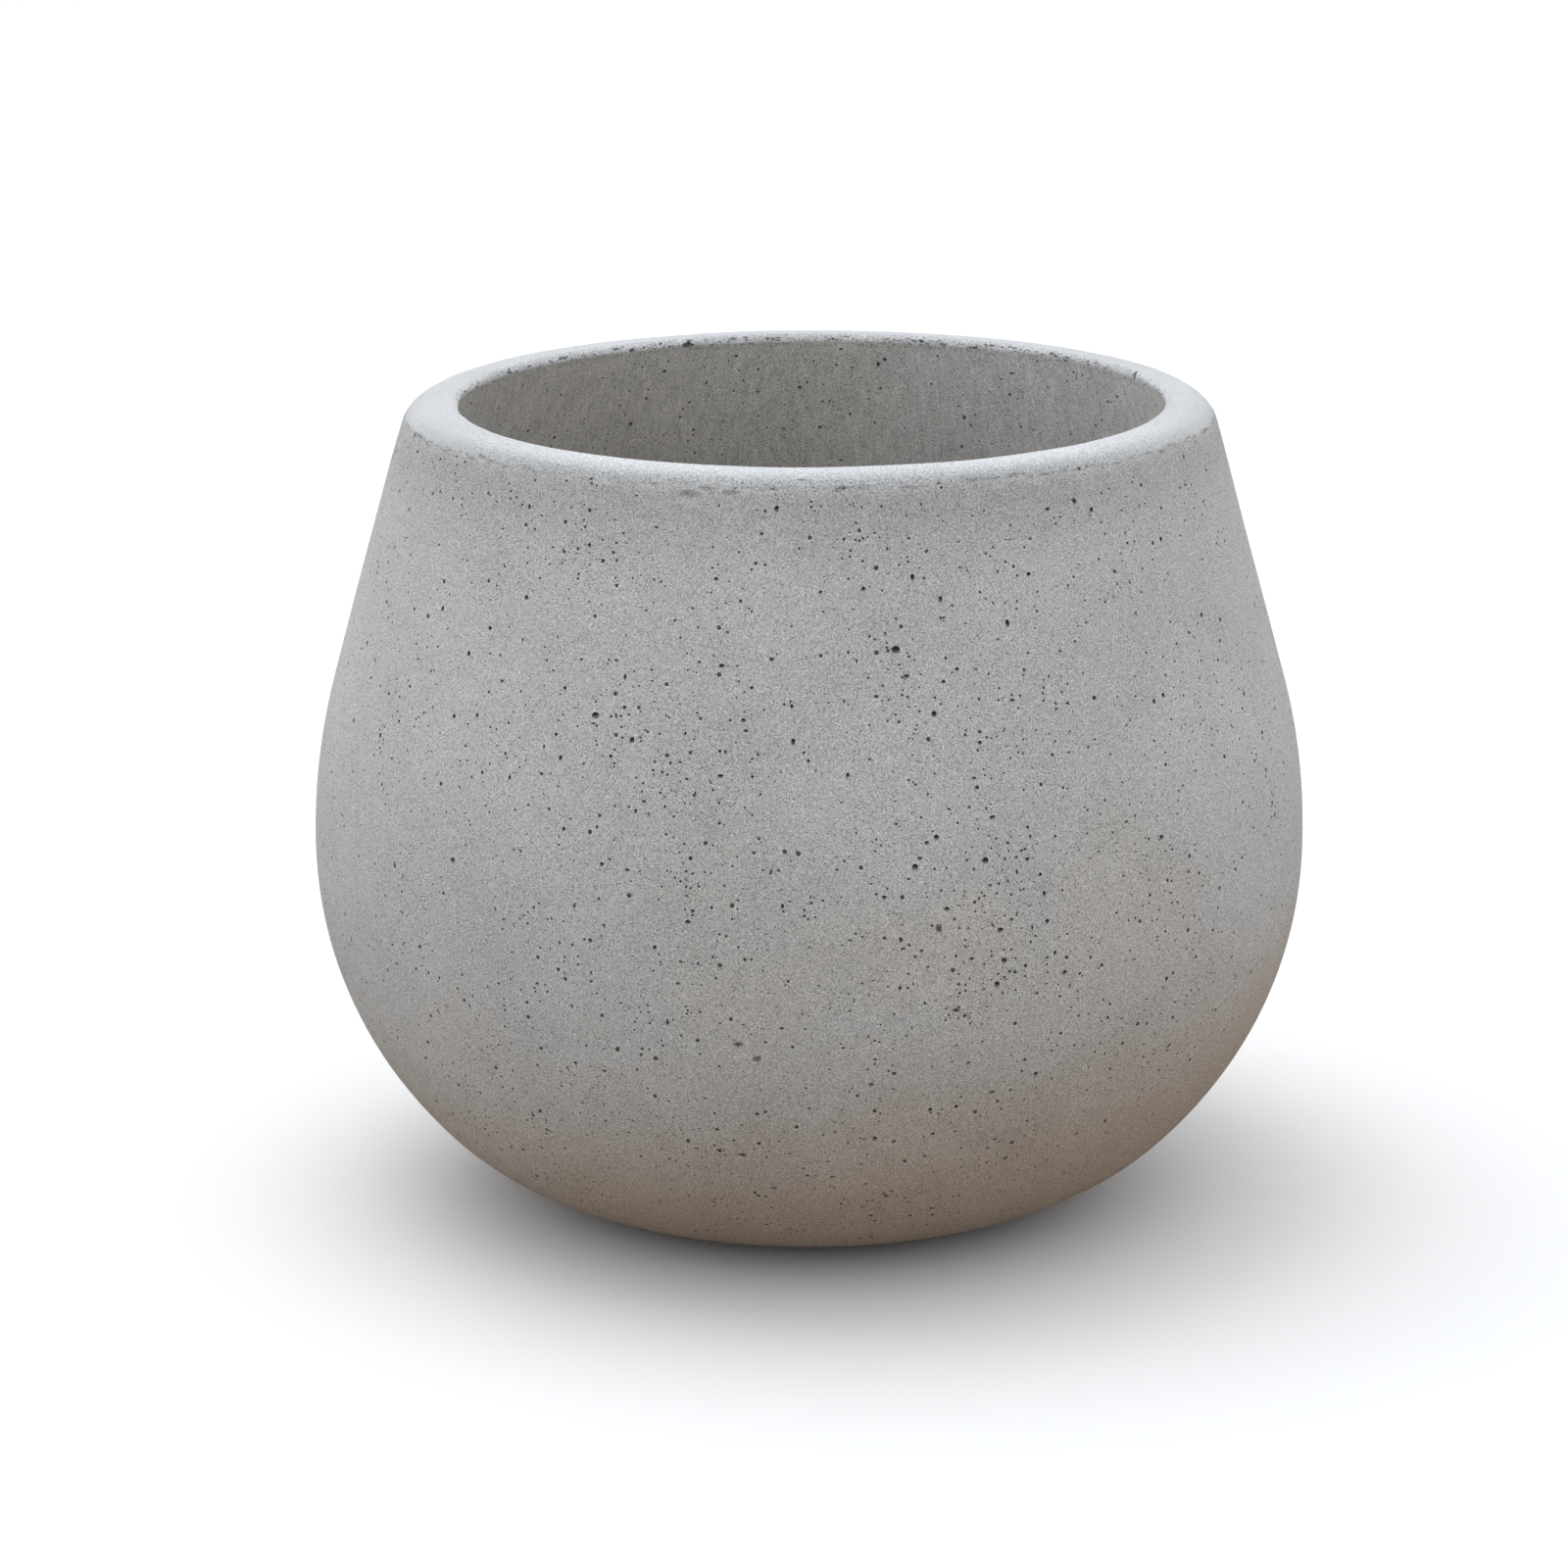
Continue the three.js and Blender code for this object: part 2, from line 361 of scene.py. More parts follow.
# %% The largest holes of the picture
# Measured in the picture: column, row and radius in pixels.
WALL_HOLES = [
    (607.6, 729.9, 3.8), (605.6, 738.2, 1.6), (637.8, 690.8, 2.2), (576.4, 702.2, 2.1), (628.6, 673.8, 1.7),
    (593.6, 672.8, 1.6), (713.5, 675.7, 1.6), (736.4, 679.5, 2.4), (637.2, 722, 2), (623.8, 731, 1.5),
    (567.7, 749.4, 2), (571.9, 773.5, 2.4), (555, 762, 1.6), (623.5, 771.4, 2), (683.9, 778.7, 1.6),
    (693.4, 778.1, 1.5), (700.7, 795, 1.7), (735.2, 791.8, 2.3), (656.3, 799.4, 1.5), (657.1, 817.9, 1.9),
    (648.7, 827.8, 1.9), (727.5, 806.4, 1.5), (734.5, 766.7, 1.6), (914, 663, 4.3), (1028, 636, 3),
    (931, 589, 2.6), (1050, 586, 2.4), (881, 601, 2.2), (925, 690, 2.4), (894, 711, 2.2), (500, 641, 2.4),
    (463, 731, 2.4), (512, 695, 2), (607, 629, 1.9), (462, 878, 3), (516, 769, 1.9), (586, 925, 1.9),
    (614, 882, 2.2), (640, 888, 2), (767, 702, 1.9), (808, 721, 2.1), (1012.5, 834, 2.8),
    (1005.6, 878.3, 3.4), (955.2, 854.4, 2.7), (945.7, 860.2, 2.2), (938.6, 876.1, 2.2), (933.8, 884.7, 3),
    (977.2, 840, 1.5), (1048.6, 844.2, 1.9), (1051.4, 853.5, 1.8), (1076.7, 853.5, 1.7),
    (1042.5, 868.1, 1.8), (1048.6, 877.1, 2.2), (1062, 892.7, 2.1), (1038.3, 890.9, 1.6),
    (1065.6, 911.8, 2.3), (1068.6, 940.2, 2.6), (1020.8, 949.2, 3.1), (1032.4, 938.6, 1.9),
    (966.3, 927.8, 2.6), (951, 944.6, 1.7), (974.2, 938.2, 1.6), (902.3, 915.9, 2.2), (902.3, 957.4, 2),
    (919.1, 959.3, 2.3), (922.1, 968.2, 1.6), (975.6, 975.9, 1.8), (991.6, 978.5, 2.3),
    (978.2, 1004.6, 1.8), (985.1, 1011, 1.7), (918.2, 1008.8, 2.2), (1024.4, 997.3, 1.7),
    (1017.3, 1004.6, 3.1), (1030.3, 991.5, 2), (1046.3, 985.8, 2.2), (1068.4, 977.5, 1.8),
    (1076.6, 972.4, 2.2), (1086.5, 992.4, 2.8), (1000, 758, 2.2), (994, 794, 2), (865, 791, 2.2),
    (1057, 1096, 2.8), (702, 941, 2.6), (668, 967, 2.4), (681, 1044, 2.4), (712, 1062, 2.4),
    (781, 1135, 2.2), (889, 1107, 2.6), (912, 1165, 2.4), (988, 1085, 2.2), (849, 1201, 2.4),
    (1034, 1205, 2), (1178, 716, 2.4),
]
# Wider and shallower: column, row, half width and half height in pixels, depth in millimetres.
WALL_CHIPS = [
    (958, 947.6, 3.6, 5.4, 0.42), (976, 1031, 4.4, 3, 0.42), (754, 1066, 5.5, 3.4, 0.35),
    (773, 1081, 6, 4, 0.35), (757, 1179, 7, 3, 0.4), (820, 489.5, 5, 2, 0.4),
    (1092.2, 1005.8, 1.4, 3.4, 0.4), (985, 1037, 3, 2.4, 0.35), (704, 504, 14, 5, 0.21),
    (746, 503, 12, 4, 0.19), (722, 499, 12, 3, 0.15),
]
# Measured in the picture: column, row and radius in pixels.
INSIDE_HOLES = [
    (677.8, 379.3, 2.4), (720.8, 391, 1.6), (773.7, 377.1, 1.6), (758.9, 388.5, 1.6), (773.2, 400.1, 1.9),
    (815.8, 395.5, 2.3), (839.5, 409.6, 1.6), (867.5, 422.9, 2), (836.8, 436.1, 2.3), (707.2, 439, 1.9),
    (799.7, 437.5, 1.6), (896.2, 372, 2.4), (830.2, 368.6, 1.4),
]


# %% From a pixel to the skin
def met_by_sight(pixels, first_run, last_run, far):
    """Run and angle of the places where lines of sight meet a stretch of the perfect bowl's skin.

    Points are tried every half millimetre. The place is where their distance from the axis, less the
    skin's radius at their height, changes sign: the first such place outside, the last one inside."""
    stretch = (RUN >= first_run) & (RUN <= last_run)
    order = np.argsort(SECTION[stretch, 1])
    heights, radii, runs = SECTION[stretch, 1][order], SECTION[stretch, 0][order], RUN[stretch][order]
    reach = np.arange(CAMERA_DISTANCE - 0.4, CAMERA_DISTANCE + 0.5, 0.0005)
    tried = CAMERA_PLACE + reach[None, :, None] * lines_of_sight(pixels)[:, None, :]
    within = np.hypot(tried[..., 0], tried[..., 1]) < np.interp(tried[..., 2], heights, radii)
    within &= (tried[..., 2] > heights[0]) & (tried[..., 2] < heights[-1])
    index = within.shape[1] - 1 - np.argmax(within[:, ::-1], axis=1) if far else np.argmax(within, axis=1)
    met = tried[np.arange(len(tried)), index]
    return np.interp(met[:, 2], heights, runs), np.arctan2(met[:, 1], met[:, 0])


def seen_on_skin(pixels, first_run, last_run, far=False):
    """The same for the hand-made bowl: each aim is corrected by how far off its place is then seen."""
    wanted = pixels[:, :2]
    aim_at = wanted
    for _ in range(3):
        run, angle = met_by_sight(aim_at, first_run, last_run, far)
        place, _, _, out = on_skin(run, angle)
        aim_at = aim_at + wanted - pixels_of(uneven(place, out, run))
    return run, angle


CLUSTERS = [                  # middles of places where pores crowd: column, row, reach in pixels
    (1010.0, 905.0, 110.0), (985.0, 1000.0, 80.0), (660.0, 760.0, 100.0), (700.0, 890.0, 60.0),
    (860.0, 520.0, 90.0), (600.0, 560.0, 70.0),
]

wall_pixels, chip_pixels = np.array(WALL_HOLES), np.array(WALL_CHIPS)
inside_pixels = np.array(INSIDE_HOLES)
wall_spots = seen_on_skin(wall_pixels, 0, CREST_RUN)
chip_spots = seen_on_skin(chip_pixels, 0, CREST_RUN)
inside_spots = seen_on_skin(inside_pixels, ARRIS_RUN, FLOOR_RUN, far=True)
cluster_pixels = np.array(CLUSTERS)
cluster_places = on_skin(*seen_on_skin(cluster_pixels, 0, CREST_RUN))[0]
cluster_reach = cluster_pixels[:, 2] * METRES_PER_PIXEL
print(f"{len(wall_pixels)} holes measured in the picture outside, {len(inside_pixels)} inside")
print(f"{len(chip_pixels)} chips")

# %% More holes at random
HOLES_APART = 0.0038
WALL_COUNT, INSIDE_COUNT, FLOOR_COUNT, BASE_COUNT = 980, 190, 30, 60
FLOOR_STRETCH = 0.10          # how far in from the wall's foot the floor has holes
AREA = np.concatenate([[0], np.cumsum(np.diff(RUN) * (SECTION[1:, 0] + SECTION[:-1, 0]) / 2)])


def scatter(first_run, last_run, count, clustering, taken, seed):
    """Runs and angles of random places on a stretch of the skin, none close to another or a taken one.

    Each is as likely on any square millimetre, but kept more often where slow waves, raised to the
    power `clustering`, stand high, and most often near the middle of a cluster."""
    draw = np.random.default_rng(seed)
    tries = count * 30
    first_area, last_area = np.interp([first_run, last_run], RUN, AREA)
    run = np.interp(draw.uniform(first_area, last_area, tries), AREA, RUN)
    angle = draw.uniform(-np.pi, np.pi, tries)
    places = on_skin(run, angle)[0]
    likely = waves(places, 16, 0.04, 0.16, seed + 1) ** clustering
    from_clusters = np.linalg.norm(places[:, None] - cluster_places, axis=2) / cluster_reach
    likely += 0.5 * np.exp(-2 * from_clusters.min(axis=1) ** 2)
    kept, room = [], np.vstack([on_skin(*taken)[0], np.full((count, 3), np.inf)])
    filled = len(taken[0])
    for index in np.flatnonzero(draw.random(tries) < likely / likely.max()):
        if len(kept) < count and np.linalg.norm(room[:filled] - places[index], axis=1).min() > HOLES_APART:
            room[filled] = places[index]
            filled += 1
            kept.append(index)
    return run[kept], angle[kept]


def joined(*spots):
    """Several pairs of runs and angles as one pair."""
    return np.concatenate([spot[0] for spot in spots]), np.concatenate([spot[1] for spot in spots])


more_wall = scatter(0.004, WALL_TOP_RUN, WALL_COUNT, 2.2, joined(wall_spots, chip_spots), seed=21)
more_inside = scatter(INSIDE_RUN + 0.003, FLOOR_RUN, INSIDE_COUNT, 1.5, inside_spots, seed=31)
on_floor = scatter(FLOOR_RUN + 0.002, FLOOR_RUN + FLOOR_STRETCH, FLOOR_COUNT, 1.5, inside_spots, seed=33)
under_base = scatter(UNDERSIDE_RUN + 0.004, RUN[-1] - 0.003, BASE_COUNT, 2.0, inside_spots, seed=35)
print(f"{len(more_wall[0])} more outside, {len(more_inside[0])} inside, {len(on_floor[0])} on the floor")


# %% Balls that carve them
def ball(cuts):
    """A round ball of four-cornered faces: the grid on a cube's six sides, pushed out to radius 1."""
    line = np.linspace(-1, 1, cuts + 1)
    u, v = [side.ravel() for side in np.meshgrid(line, line, indexing="ij")]
    one = np.ones_like(u)
    sides = [(one, u, v), (-one, v, u), (v, one, u), (u, -one, v), (u, v, one), (v, u, -one)]
    points = np.concatenate([np.column_stack(side) for side in sides])
    row, column = [part.ravel() for part in np.meshgrid(np.arange(cuts), np.arange(cuts), indexing="ij")]
    corner = row * (cuts + 1) + column
    square = np.stack([corner, corner + cuts + 1, corner + cuts + 2, corner + 1], axis=1)
    faces = np.concatenate([square + k * len(u) for k in range(len(sides))])
    points, place = np.unique(np.round(points, 6), axis=0, return_inverse=True)
    points = np.tan(points * math.pi / 4)
    return points / np.linalg.norm(points, axis=1, keepdims=True), place.ravel()[faces]


def cutters(name, spots, sizes, sink, rough, cuts, seed):
    """One mesh of small balls, each stretched by its three sizes and turned to the skin.

    A corner is the place, less the way out times the sink, plus the three ways times the ball's
    corner times the sizes; the corners are pushed in or out at random by the share `rough`."""
    draw = np.random.default_rng(seed)
    unit, faces = ball(cuts)
    place, round_way, along, out = on_skin(*spots)
    middle = uneven(place, out, spots[0]) - out * np.asarray(sink)[..., None]
    bumps = 1 + rough * draw.uniform(-1, 1, size=(len(sizes), len(unit), 1))
    local = unit[None] * sizes[:, None, :] * bumps
    ways = np.stack([round_way, along, out], axis=1)
    points = middle[:, None, :] + local @ ways
    all_faces = (faces[None] + (np.arange(len(sizes)) * len(unit))[:, None, None]).reshape(-1, 4)
    return surface(name, points.reshape(-1, 3), all_faces)


def hole_sizes(radii, seed):
    """Three sizes for each hole: a little oval across, and about as deep as it is wide."""
    draw = np.random.default_rng(seed)
    oval = draw.normal(1, 0.13, size=len(radii))
    return 1.06 * np.column_stack([radii * oval, radii / oval, radii * draw.uniform(0.9, 1.4, len(radii))])


def random_radii(count, smallest, spread, power, seed):
    """Hole radii in metres: many near the smallest, few near smallest plus spread."""
    return smallest + spread * np.random.default_rng(seed).random(count) ** power


SMALLEST_RADIUS = 0.00068
RADIUS_SPREAD = 0.0008
PLACED_SINK = 0.45            # how deep a ball's middle lies, in its radii
SMALL_SINK = 0.35

placed_radii = np.concatenate([wall_pixels[:, 2], inside_pixels[:, 2]]) * METRES_PER_PIXEL
placed_spots = joined(wall_spots, inside_spots)
placed_sizes = hole_sizes(placed_radii, seed=6)
placed_sink = PLACED_SINK * placed_radii
placed_balls = cutters("placed_balls", placed_spots, placed_sizes, placed_sink, 0.06, 3, seed=7)

small_spots = joined(more_wall, more_inside, on_floor, under_base)
small_radii = random_radii(len(small_spots[0]), SMALLEST_RADIUS, RADIUS_SPREAD, 4, seed=5)
small_sizes = hole_sizes(small_radii, seed=8)
small_balls = cutters("small_balls", small_spots, small_sizes, SMALL_SINK * small_radii, 0.05, 2, seed=9)

chip_sizes = np.column_stack([chip_pixels[:, 2:4] * METRES_PER_PIXEL, chip_pixels[:, 4] / 1000])
chip_balls = cutters("chip_balls", chip_spots, chip_sizes, 0.0001, 0.3, 3, seed=10)

# %% Crumbs broken out of the rim's inner edge
CRUMB_COUNT = 300
BIG_CHIP_COLUMN = 701.5       # the columns of the picture in which two larger chips are seen
NOTCH_COLUMN = 1157.0

draw = np.random.default_rng(41)
crumb_angle = draw.uniform(-np.pi, np.pi, 3 * CRUMB_COUNT)
crumb_angle = crumb_angle[draw.random(len(crumb_angle)) < crumbly(crumb_angle)][:CRUMB_COUNT]
crumb_run = draw.triangular(edge_run - 0.0015, edge_run + 0.0005, INSIDE_RUN + 0.001, len(crumb_angle))
crumb_sizes = 0.0005 + 0.0007 * draw.random((len(crumb_angle), 1)) ** 3
crumb_sizes = crumb_sizes * draw.uniform((0.9, 0.6, 0.6), (2.2, 1.1, 1.3), (len(crumb_angle), 3))
crumb_balls = cutters("crumb_balls", (crumb_run, crumb_angle), crumb_sizes, 0.0001, 0.3, 2, seed=42)

far_side = np.linspace(math.pi - 0.05, 0.05, 400)
edge_places, _, _, edge_out = on_skin(np.full(400, edge_run), far_side)
edge_columns = pixels_of(uneven(edge_places, edge_out, np.full(400, edge_run)))[:, 0]
chip_angles = np.interp([BIG_CHIP_COLUMN, NOTCH_COLUMN], edge_columns, far_side)
big_sizes = np.array([(0.0036, 0.0021, 0.0030), (0.0016, 0.0030, 0.0020)])
chip_runs = np.array([INSIDE_RUN + 0.0003, edge_run])
big_balls = cutters("big_chips", (chip_runs, chip_angles), big_sizes, 0.0002, 0.2, 3, seed=43)
print(f"{len(crumb_angle)} crumbs and {len(big_sizes)} larger chips")


# %% Carve them out
def carve(piece, cutter):
    """Takes the cutter's volume out of the piece for good, and removes the cutter."""
    cut = piece.modifiers.new("carve", "BOOLEAN")
    cut.operation = "DIFFERENCE"
    cut.solver = "MANIFOLD"
    cut.object = cutter
    shaped = bpy.data.meshes.new_from_object(piece.evaluated_get(bpy.context.evaluated_depsgraph_get()))
    piece.modifiers.clear()
    piece.data = shaped
    bpy.data.objects.remove(cutter)


for cutter in (placed_balls, small_balls, chip_balls, crumb_balls, big_balls):
    name, before = cutter.name, len(bowl.data.polygons)
    carve(bowl, cutter)
    print(f"{name}: {before} faces became {len(bowl.data.polygons)}")
bowl.data.set_sharp_from_angle(angle=math.radians(38))
bowl.data.calc_loop_triangles()
print(f"the carved bowl has {len(bowl.data.loop_triangles)} triangles")

# %% [markdown]
# ## Marks for the finish
#
# The finish changes over the bowl: the inside is streaked and painted darker as shade, and the holes are
# painted dark as shade. A material could guess this from heights, but it is surer to measure it once and keep
# it on the mesh. Each corner of the skin is compared with the section line, and gets two numbers from 0 to 1:
# how deep it lies in a hole, and whether it belongs to the inside.

# %% Measure the corners against the section
HOLE_REACH = 0.0012           # a corner this deep counts as the bottom of a hole
INSIDE_FADE = 0.008           # metres from the rim's inner edge over which the inside's mark grows


def against_section(points):
    """Depth below the perfect skin, and the run of the nearest point of the section, for each point.

    In the half plane of radius and height, the nearest point of every segment is worked out by
    projection, and the closest one is taken."""
    flat = np.column_stack([np.hypot(points[:, 0], points[:, 1]), points[:, 2]]).astype(np.float32)
    start, leg = SECTION[:-1].astype(np.float32), np.diff(SECTION, axis=0).astype(np.float32)
    depth, run = np.empty(len(flat)), np.empty(len(flat))
    for part in np.array_split(np.arange(len(flat)), 20):
        away = flat[part, None, :] - start
        share = np.clip((away * leg).sum(axis=2) / (leg**2).sum(axis=1), 0, 1)
        distance = np.linalg.norm(away - share[..., None] * leg, axis=2)
        nearest = distance.argmin(axis=1)
        depth[part] = distance[np.arange(len(part)), nearest]
        run[part] = (RUN[:-1] + share * np.diff(RUN))[np.arange(len(part)), nearest]
    return depth, run


def mark(piece, name, values):
    """Keeps one number for each corner of the mesh, under a name that the material reads."""
    stored = piece.data.attributes.new(name, "FLOAT", "POINT")
    stored.data.foreach_set("value", np.ascontiguousarray(values, np.float32))


corner_places = np.empty(len(bowl.data.vertices) * 3, np.float32)
bowl.data.vertices.foreach_get("co", corner_places)
corner_places = corner_places.reshape(-1, 3).astype(float)
run = against_section(corner_places)[1]
evened = 2 * corner_places - uneven(corner_places, np.zeros_like(corner_places), run)
depth, run = against_section(evened)
depth -= swell(corner_places) + wear(evened, run)
mark(bowl, "hole", np.clip(depth / HOLE_REACH, 0, 1))
mark(bowl, "inside", np.clip((run - ARRIS_RUN) / INSIDE_FADE, 0, 1) * (run < UNDERSIDE_RUN))
print(f"{(depth > 0.3 * HOLE_REACH).sum()} of {len(depth)} corners lie in holes")

# %% [markdown]
# ## The stopper and the pads
#
# The stopper is moulded rubber: a tapered stem with two sealing ribs, a flange, and a bead for the fingers.
# The pads are rubber discs with a rounded edge and a few rings to grip the ground. All are turned like the
# bowl, but their sections start and end on the axis, so each end is closed by a fan of triangles.


# %% Turned solids that close on the axis
def turned_solid(name, section, columns, middle=(0, 0)):
    """A closed solid turned from a section whose first and last points lie on the axis.

    The rows between are rings, and the two end points are the tips of fans of triangles."""
    rings = turn(np.asarray(section)[1:-1], columns)
    points = np.vstack([rings.reshape(-1, 3), (0, 0, section[0][1]), (0, 0, section[-1][1])])
    points[:, :2] += middle
    first, last = len(points) - 2, len(points) - 1
    column = np.arange(columns)
    beside = (column + 1) % columns
    top = (len(rings) - 1) * columns
    low_fan = np.column_stack([np.full(columns, first), beside, column])
    high_fan = np.column_stack([np.full(columns, last), top + column, top + beside])
    made = surface(name, points, ring_faces(len(rings), columns, closed=False), low_fan, high_fan)
    made.data.set_sharp_from_angle(angle=math.radians(40))
    return made


# %% The stopper
PLUG_LOW, PLUG_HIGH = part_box("drain_plug")
PLUG_COLUMNS = 96
STEM_RADIUS = DRAIN_RADIUS - 0.0004
STEM_TAPER = 0.0008
FOOT_ROUND = 0.0015
FLANGE_RADIUS = 0.018
FLANGE_TOP = RECESS_Z + 0.0035
FLANGE_FOOT_ROUND = 0.0008
FLANGE_ROUND = 0.0015
NECK_ROUND = 0.001
NECK_RADIUS = 0.005
NECK_TOP = FLANGE_TOP + 0.004
BEAD_REACH = 0.008
BEAD_ROUND = (PLUG_HIGH[2] - NECK_TOP) / 2
RIB_PLACES = (0.35, 0.65)     # shares of the stem's length
RIB_WIDTH = 0.0012
RIB_DEPTH = 0.00025

stem_z = np.linspace(PLUG_LOW[2] + FOOT_ROUND, RECESS_Z, 40)
stem_share = (stem_z - PLUG_LOW[2]) / (RECESS_Z - PLUG_LOW[2])
from_ribs = [(stem_share - place) * (RECESS_Z - PLUG_LOW[2]) / RIB_WIDTH for place in RIB_PLACES]
ribs = sum(np.exp(-away**2) for away in from_ribs)
stem_r = STEM_RADIUS - STEM_TAPER * (1 - stem_share) + RIB_DEPTH * ribs
plug_section = np.concatenate([
    [(0, PLUG_LOW[2])],
    arc((stem_r[0] - FOOT_ROUND, PLUG_LOW[2] + FOOT_ROUND), FOOT_ROUND, -90, 0, 5)[:-1],
    np.column_stack([stem_r, stem_z]),
    [(FLANGE_RADIUS - FLANGE_FOOT_ROUND, RECESS_Z)],
    arc((FLANGE_RADIUS - FLANGE_FOOT_ROUND, RECESS_Z + FLANGE_FOOT_ROUND), FLANGE_FOOT_ROUND, -60, 0, 3),
    arc((FLANGE_RADIUS - FLANGE_ROUND, FLANGE_TOP - FLANGE_ROUND), FLANGE_ROUND, 0, 90, 6),
    arc((NECK_RADIUS + NECK_ROUND, FLANGE_TOP + NECK_ROUND), NECK_ROUND, 270, 180, 5),
    arc((BEAD_REACH - BEAD_ROUND, NECK_TOP + BEAD_ROUND), BEAD_ROUND, -90, 90, 16),
    [(0, PLUG_HIGH[2])],
])
stopper = turned_solid("stopper", plug_section, PLUG_COLUMNS)
print(f"stopper: {len(stopper.data.polygons)} faces, stem {2000 * stem_r.max():.1f} mm across")

# %% The pads
PAD_COLUMNS = 64
PAD_EDGE = 0.0008
GRIP_RINGS = 4
RING_DEPTH = 0.00018

pads = []
for name in [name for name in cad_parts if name.startswith("foot_pad")]:
    pad_low, pad_high = [np.array(corner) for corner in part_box(name)]
    pad_radius = (pad_high[0] - pad_low[0]) / 2
    ring_r = np.linspace(0, pad_radius - PAD_EDGE, 41)
    ring_z = pad_low[2] + RING_DEPTH * (1 - np.cos(2 * np.pi * GRIP_RINGS * ring_r / ring_r[-1])) / 2
    pad_section = np.concatenate([
        np.column_stack([ring_r, ring_z]),
        arc((pad_radius - PAD_EDGE, pad_low[2] + PAD_EDGE), PAD_EDGE, -90, 0, 5)[1:],
        [(pad_radius, pad_high[2] - 0.0002), (pad_radius - 0.0002, pad_high[2]), (0, pad_high[2])],
    ])
    pad_middle = (pad_low[:2] + pad_high[:2]) / 2
    pads.append((turned_solid(name + "_disc", pad_section, PAD_COLUMNS, pad_middle), name))
print(f"{len(pads)} pads, radius {pad_radius * 1000:.0f} mm")

# %% Each piece stands for its solid and rides on its body
for piece, node, body, slot in [
    (bowl, "bowl_shell", "bowl", "concrete"),
    (stopper, "drain_plug", "plug", "plug_rubber"),
    *((pad, node, "bowl", "pad_rubber") for pad, node in pads),
]:
    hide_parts(node)
    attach(piece, body)
    print(piece.name, "stands for", node, "and rides on", body)

# %% [markdown]
# ## Finishes
#
# Concrete is sand and cement, so its colour has three scales: clouds as large as a hand, where the mould
# drew water at different speeds, the sand's grain of about a millimetre, and pinholes too small to carve.
# Each scale is a node group with its own size, so that the same groups can serve the rubber as well. All of
# them read the object's own coordinates in metres, which keeps the pattern solid right through the wall.


# %% Helpers for nodes
class Value:
    """A number, vector or colour on its way through a node tree: arithmetic on it adds nodes there."""

    def __init__(self, socket):
        self.socket = socket

    def __add__(self, other):
        return calculate("ADD", self, other)

    def __sub__(self, other):
        return calculate("SUBTRACT", self, other)

    def __rsub__(self, other):
        return calculate("SUBTRACT", other, self)

    def __mul__(self, other):
        return calculate("MULTIPLY", self, other)

    def __truediv__(self, other):
        return calculate("DIVIDE", self, other)

    def __rtruediv__(self, other):
        return calculate("DIVIDE", other, self)

    __radd__, __rmul__ = __add__, __mul__


def tree_of(*values):
    """The node tree that holds the values."""
    return next(value.socket.id_data for value in values if isinstance(value, Value))


def put(socket, value):
    """Joins a value to a socket, or sets the socket to a plain number, vector or colour."""
    if isinstance(value, Value):
        value.socket.id_data.links.new(value.socket, socket)
    else:
        socket.default_value = value


def add_node(tree, kind, inputs=None, **settings):
    """A new node with its settings made and its inputs filled: its outputs, by number and by name."""
    made = tree.nodes.new("ShaderNode" + kind)
    for name, value in settings.items():
        setattr(made, name, value)
    for key, value in (inputs or {}).items():
        put(made.inputs[key], value)
    outputs = {number: Value(socket) for number, socket in enumerate(made.outputs)}
    return outputs | {value.socket.name: value for value in outputs.values()}


def calculate(operation, *values, clamp=False):
    """One step of arithmetic on values and numbers."""
    inputs = dict(enumerate(values))
    return add_node(tree_of(*values), "Math", inputs, operation=operation, use_clamp=clamp)[0]


def vector(operation, first, second=(0, 0, 0), scale=1.0):
    """One step of arithmetic on vectors: its vector and its number."""
    inputs = {0: first, 1: second, 3: scale}
    made = add_node(tree_of(first), "VectorMath", inputs, operation=operation)
    return made[0], made[1]


def part(whole, axis):
    """The X, Y or Z of a vector."""
    return add_node(tree_of(whole), "SeparateXYZ", {0: whole})[axis]


def ramp(value, low, high, to_low=0.0, to_high=1.0):
    """A smooth step: to_low where the value is below low, to_high above high."""
    ends = {"Value": value, "From Min": low, "From Max": high, "To Min": to_low, "To Max": to_high}
    return add_node(tree_of(value), "MapRange", ends, interpolation_type="SMOOTHSTEP")[0]


def blend(share, first, second, how="MIX"):
    """Two colours mixed, or the second laid over the first in another way, by a share from 0 to 1."""
    ends = {0: share, 6: first, 7: second}
    return add_node(tree_of(share, first, second), "Mix", ends, data_type="RGBA", blend_type=how)[2]


def noise(place, size, stretch=(1, 1, 1), detail=2.0, roughness=0.5, distortion=0.0):
    """Noise whose features are about `size` metres across, from -1 to 1 and mostly near 0."""
    scaled = vector("SCALE", place, scale=1.0 / size)[0]
    inputs = {
        "Vector": vector("MULTIPLY", scaled, stretch)[0],
        "Scale": 1.0, "Detail": detail, "Roughness": roughness, "Distortion": distortion,
    }
    return add_node(tree_of(place), "TexNoise", inputs)[0] * 2.0 - 1.0


